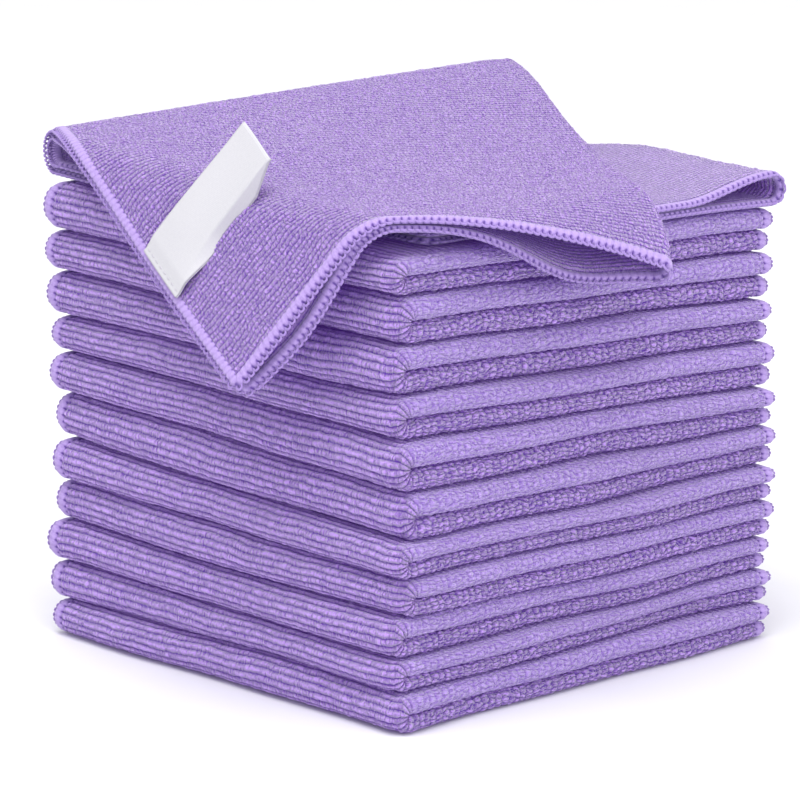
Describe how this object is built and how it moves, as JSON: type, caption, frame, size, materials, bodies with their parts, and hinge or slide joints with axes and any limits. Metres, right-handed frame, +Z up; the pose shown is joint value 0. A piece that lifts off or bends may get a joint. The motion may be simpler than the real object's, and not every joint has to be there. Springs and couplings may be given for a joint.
{
  "type": "quick dry towel",
  "caption": "Pile of quarter-folded quick-dry microfibre cloths with overlocked hems; the top one is turned so its corners hang over the pile, with a blank care label.",
  "frame": {"origin": "centre of the flat underside of the pile, on the surface it rests on", "axes": "+Z up; -Y is the face of single rounded second folds, +X is the face of paired first folds, and the hems are on -X and +Y"},
  "size_m": [0.1891, 0.1794, 0.1631],
  "materials": {
    "microfibre": "matte",
    "overlock_thread": "matte",
    "label_satin": "satin",
    "label_thread": "matte"
  },
  "bodies": {
    "towel_01": {"towel_01": "microfibre", "hem_01": "overlock_thread"},
    "towel_02": {"towel_02": "microfibre", "hem_02": "overlock_thread"},
    "towel_03": {"towel_03": "microfibre", "hem_03": "overlock_thread"},
    "towel_04": {"towel_04": "microfibre", "hem_04": "overlock_thread"},
    "towel_05": {"towel_05": "microfibre", "hem_05": "overlock_thread"},
    "towel_06": {"towel_06": "microfibre", "hem_06": "overlock_thread"},
    "towel_07": {"towel_07": "microfibre", "hem_07": "overlock_thread"},
    "towel_08": {"towel_08": "microfibre", "hem_08": "overlock_thread"},
    "towel_09": {"towel_09": "microfibre", "hem_09": "overlock_thread"},
    "towel_10": {"towel_10": "microfibre", "hem_10": "overlock_thread"},
    "towel_11": {"towel_11": "microfibre", "hem_11": "overlock_thread"},
    "top_towel": {"top_towel_lower_half": "microfibre", "top_hem_lower": "overlock_thread"},
    "top_flap": {"top_towel_upper_half": "microfibre", "top_hem_upper": "overlock_thread"},
    "care_label": {"care_label": "label_satin", "label_stitching": "label_thread"}
  },
  "joints": [
    {"name": "lift_towel_02", "type": "slide", "parent": "towel_01", "child": "towel_02", "axis": [0, 0, 1], "range_m": [0, 0.04]},
    {"name": "lift_towel_03", "type": "slide", "parent": "towel_02", "child": "towel_03", "axis": [0, 0, 1], "range_m": [0, 0.04]},
    {"name": "lift_towel_04", "type": "slide", "parent": "towel_03", "child": "towel_04", "axis": [0, 0, 1], "range_m": [0, 0.04]},
    {"name": "lift_towel_05", "type": "slide", "parent": "towel_04", "child": "towel_05", "axis": [0, 0, 1], "range_m": [0, 0.04]},
    {"name": "lift_towel_06", "type": "slide", "parent": "towel_05", "child": "towel_06", "axis": [0, 0, 1], "range_m": [0, 0.04]},
    {"name": "lift_towel_07", "type": "slide", "parent": "towel_06", "child": "towel_07", "axis": [0, 0, 1], "range_m": [0, 0.04]},
    {"name": "lift_towel_08", "type": "slide", "parent": "towel_07", "child": "towel_08", "axis": [0, 0, 1], "range_m": [0, 0.04]},
    {"name": "lift_towel_09", "type": "slide", "parent": "towel_08", "child": "towel_09", "axis": [0, 0, 1], "range_m": [0, 0.04]},
    {"name": "lift_towel_10", "type": "slide", "parent": "towel_09", "child": "towel_10", "axis": [0, 0, 1], "range_m": [0, 0.04]},
    {"name": "lift_towel_11", "type": "slide", "parent": "towel_10", "child": "towel_11", "axis": [0, 0, 1], "range_m": [0, 0.04]},
    {"name": "lift_top_towel", "type": "slide", "parent": "towel_11", "child": "top_towel", "axis": [0, 0, 1], "range_m": [0, 0.04]},
    {"name": "open_top_flap", "type": "hinge", "parent": "top_towel", "child": "top_flap", "pos_m": [-0.077, -0.069, 0.1497], "axis": [-0.2374, -0.9699, -0.054], "range_deg": [0, 55]},
    {"name": "flip_care_label", "type": "hinge", "parent": "top_flap", "child": "care_label", "pos_m": [-0.01276, -0.0891, 0.12555], "axis": [0.86, -0.194, -0.472], "range_deg": [0, 120]}
  ]
}
